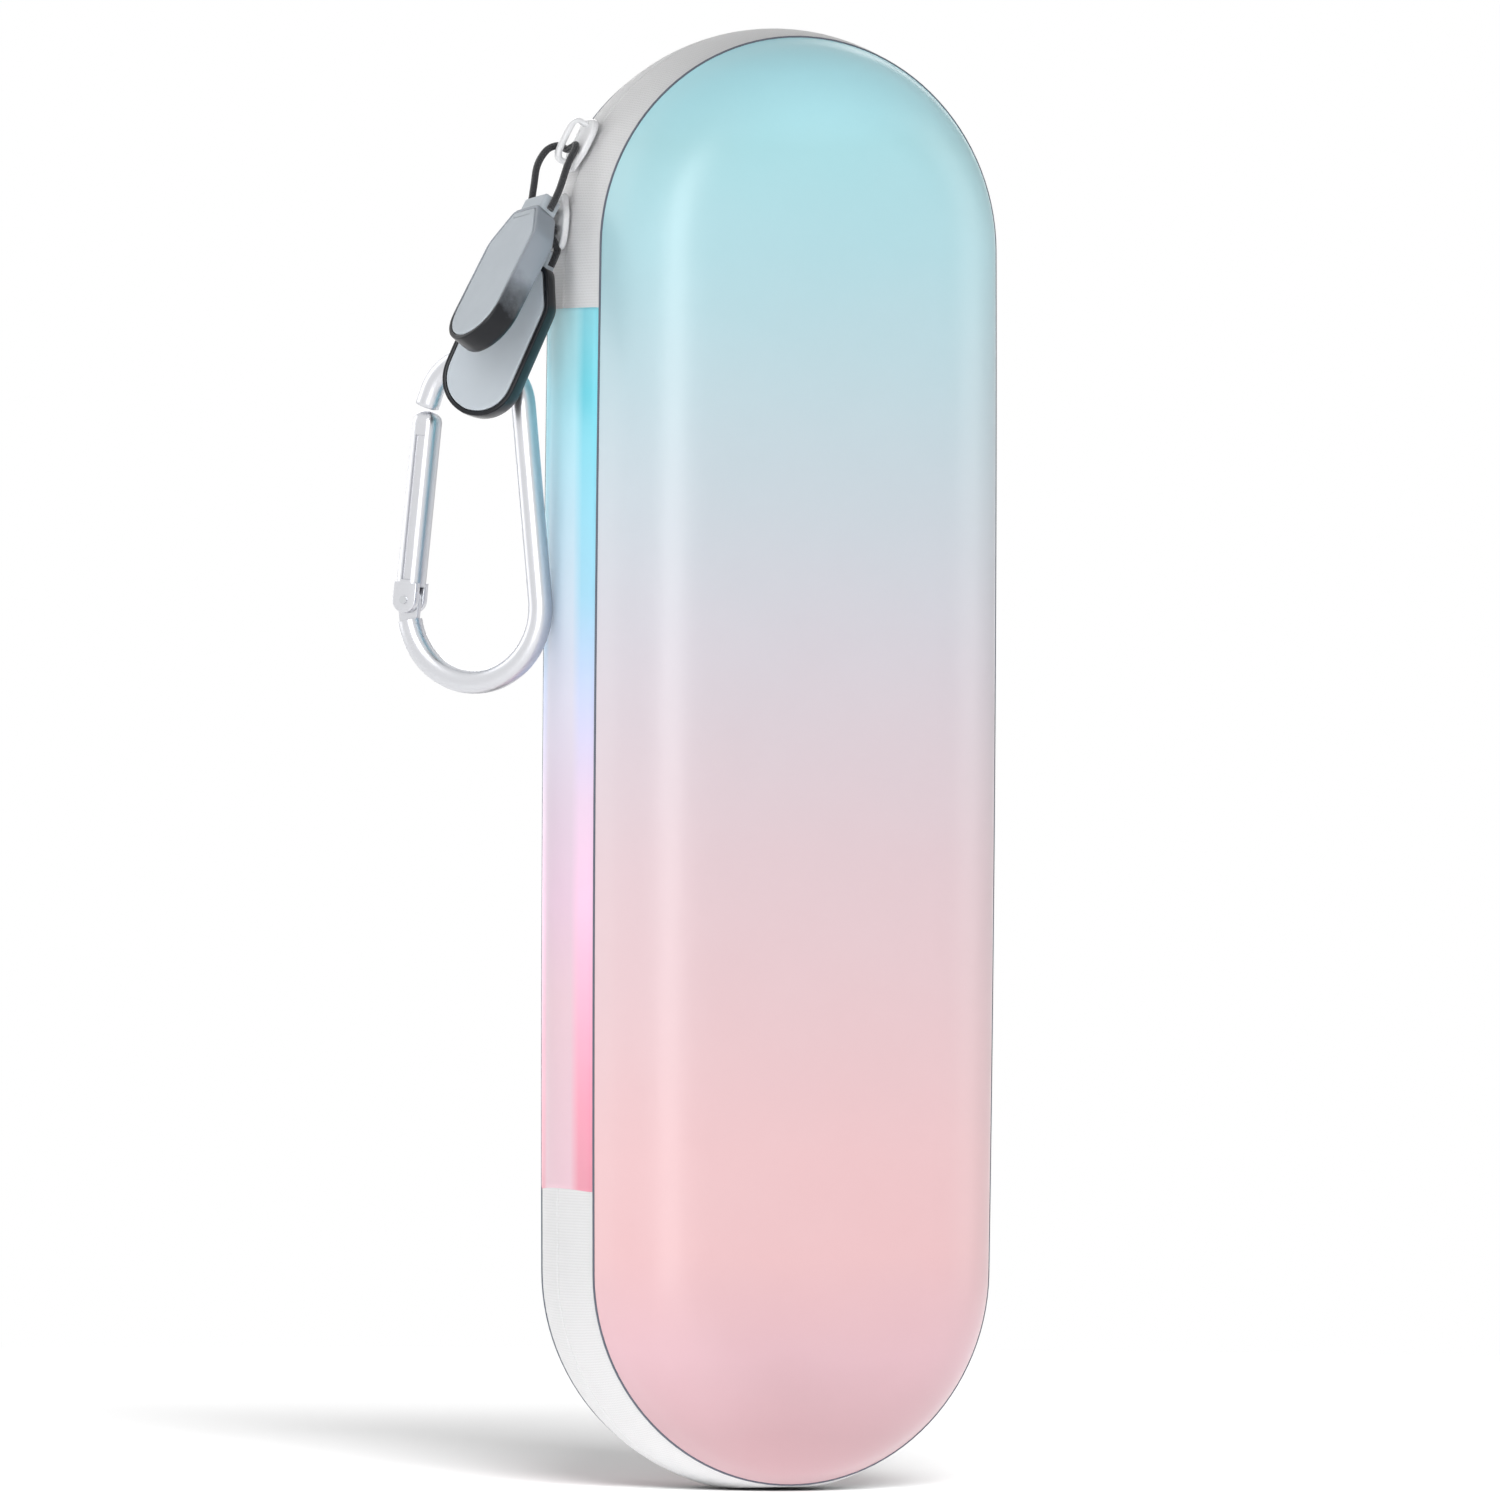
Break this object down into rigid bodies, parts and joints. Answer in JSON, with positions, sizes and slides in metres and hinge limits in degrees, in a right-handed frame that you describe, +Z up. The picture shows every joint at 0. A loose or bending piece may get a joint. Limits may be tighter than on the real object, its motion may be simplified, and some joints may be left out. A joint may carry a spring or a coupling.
{
  "type": "electric toothbrush travel case",
  "caption": "Hard-shell zip case for an electric toothbrush: two moulded shells on a fabric hinge, zip sliders with long pulls, and a small carabiner.",
  "frame": {"origin": "on the floor under the middle of the case, in the plane of the zip", "axes": "+Z up the case, the lid faces -Y, the fabric hinge is at -X"},
  "size_m": [0.0928, 0.051, 0.2345],
  "materials": {
    "shell_cover": "semi-gloss coated fabric over moulded foam, cyan to pink",
    "lining_cloth": "smooth knitted lining",
    "binding_cloth": "woven binding",
    "zip_cloth": "light grey woven zip tape",
    "zip_nylon": "light grey nylon coil",
    "cradle_foam": "moulded soft foam",
    "elastic_black": "black woven elastic",
    "net": "fine net",
    "slider_metal": "white enamelled metal",
    "cord_black": "black round cord",
    "pull_grey": "glossy grey moulding",
    "pull_face": "light grey-blue moulding",
    "carabiner_alu": "satin aluminium",
    "pin_steel": "steel"
  },
  "bodies": {
    "base": {"back_shell": "shell_cover", "back_lining": "lining_cloth", "back_binding": "binding_cloth", "back_zip_tape": "zip_cloth", "back_zip_coil": "zip_nylon", "spine_strip": "shell_cover", "foam_cradle": "cradle_foam", "lower_strap": "elastic_black", "upper_strap": "elastic_black", "upper_zip_stop": "zip_nylon", "lower_zip_stop": "zip_nylon"},
    "lid": {"front_shell": "shell_cover", "front_lining": "lining_cloth", "front_binding": "binding_cloth", "front_zip_tape": "zip_cloth", "front_zip_coil": "zip_nylon", "mesh_pocket": "net", "pocket_hem": "elastic_black"},
    "zip_slider_1": {"slider_1": "slider_metal", "slider_1_bow": "slider_metal"},
    "pull_1": {"pull_1_cord": "cord_black", "pull_1_core": "pull_grey", "pull_1_inlay": "pull_face"},
    "zip_slider_2": {"slider_2": "slider_metal", "slider_2_bow": "slider_metal"},
    "pull_2": {"pull_2_cord": "cord_black", "pull_2_core": "pull_grey", "pull_2_inlay": "pull_face"},
    "lanyard_loop": {"lanyard": "cord_black"},
    "carabiner": {"carabiner_frame": "carabiner_alu", "gate_pin": "pin_steel"},
    "gate": {"carabiner_gate": "carabiner_alu", "gate_spring": "pin_steel"}
  },
  "joints": [
    {"name": "lid_hinge", "type": "hinge", "parent": "base", "child": "lid", "pos_m": [-0.0358, 0, 0.11835], "axis": [0, 0, -1], "range_deg": [0, 100], "deforming": ["spine_strip", "front_zip_tape", "front_zip_coil"]},
    {"name": "slider_1_travel", "type": "hinge", "parent": "base", "child": "zip_slider_1", "pos_m": [0, 0, 0.199], "axis": [0, 1, 0], "range_deg": [0, 150]},
    {"name": "slider_2_travel", "type": "slide", "parent": "base", "child": "zip_slider_2", "axis": [-0.0278, 0, -0.9996], "range_m": [0, 0.007]},
    {"name": "pull_1_swing", "type": "hinge", "parent": "zip_slider_1", "child": "pull_1", "pos_m": [-0.03455, 0, 0.21474], "axis": [-0.1683, 0.9511, -0.2592], "range_deg": [0, 150], "deforming": ["pull_1_cord"]},
    {"name": "pull_2_swing", "type": "hinge", "parent": "zip_slider_2", "child": "pull_2", "pos_m": [-0.03785, 0, 0.20197], "axis": [0.6359, 0.7586, -0.1419], "range_deg": [0, 80], "deforming": ["pull_2_cord"]},
    {"name": "lanyard_swing", "type": "hinge", "parent": "zip_slider_2", "child": "lanyard_loop", "pos_m": [-0.03759, 0, 0.20446], "axis": [0.7314, 0.682, 0], "range_deg": [0, 45], "deforming": ["lanyard"]},
    {"name": "carabiner_swing", "type": "hinge", "parent": "lanyard_loop", "child": "carabiner", "pos_m": [-0.0462, 0.0116, 0.1727], "axis": [0.7314, 0.682, 0], "range_deg": [0, 60]},
    {"name": "gate_hinge", "type": "hinge", "parent": "carabiner", "child": "gate", "pos_m": [-0.05427, 0.02026, 0.14224], "axis": [0.7314, 0.682, 0], "range_deg": [0, 22], "stiffness_Nm_per_rad": 0.01, "springref_deg": -9.74}
  ],
  "couplings": [
    {"joint": "slider_1_travel", "follows": "lid_hinge", "ratio": 1.25}
  ]
}
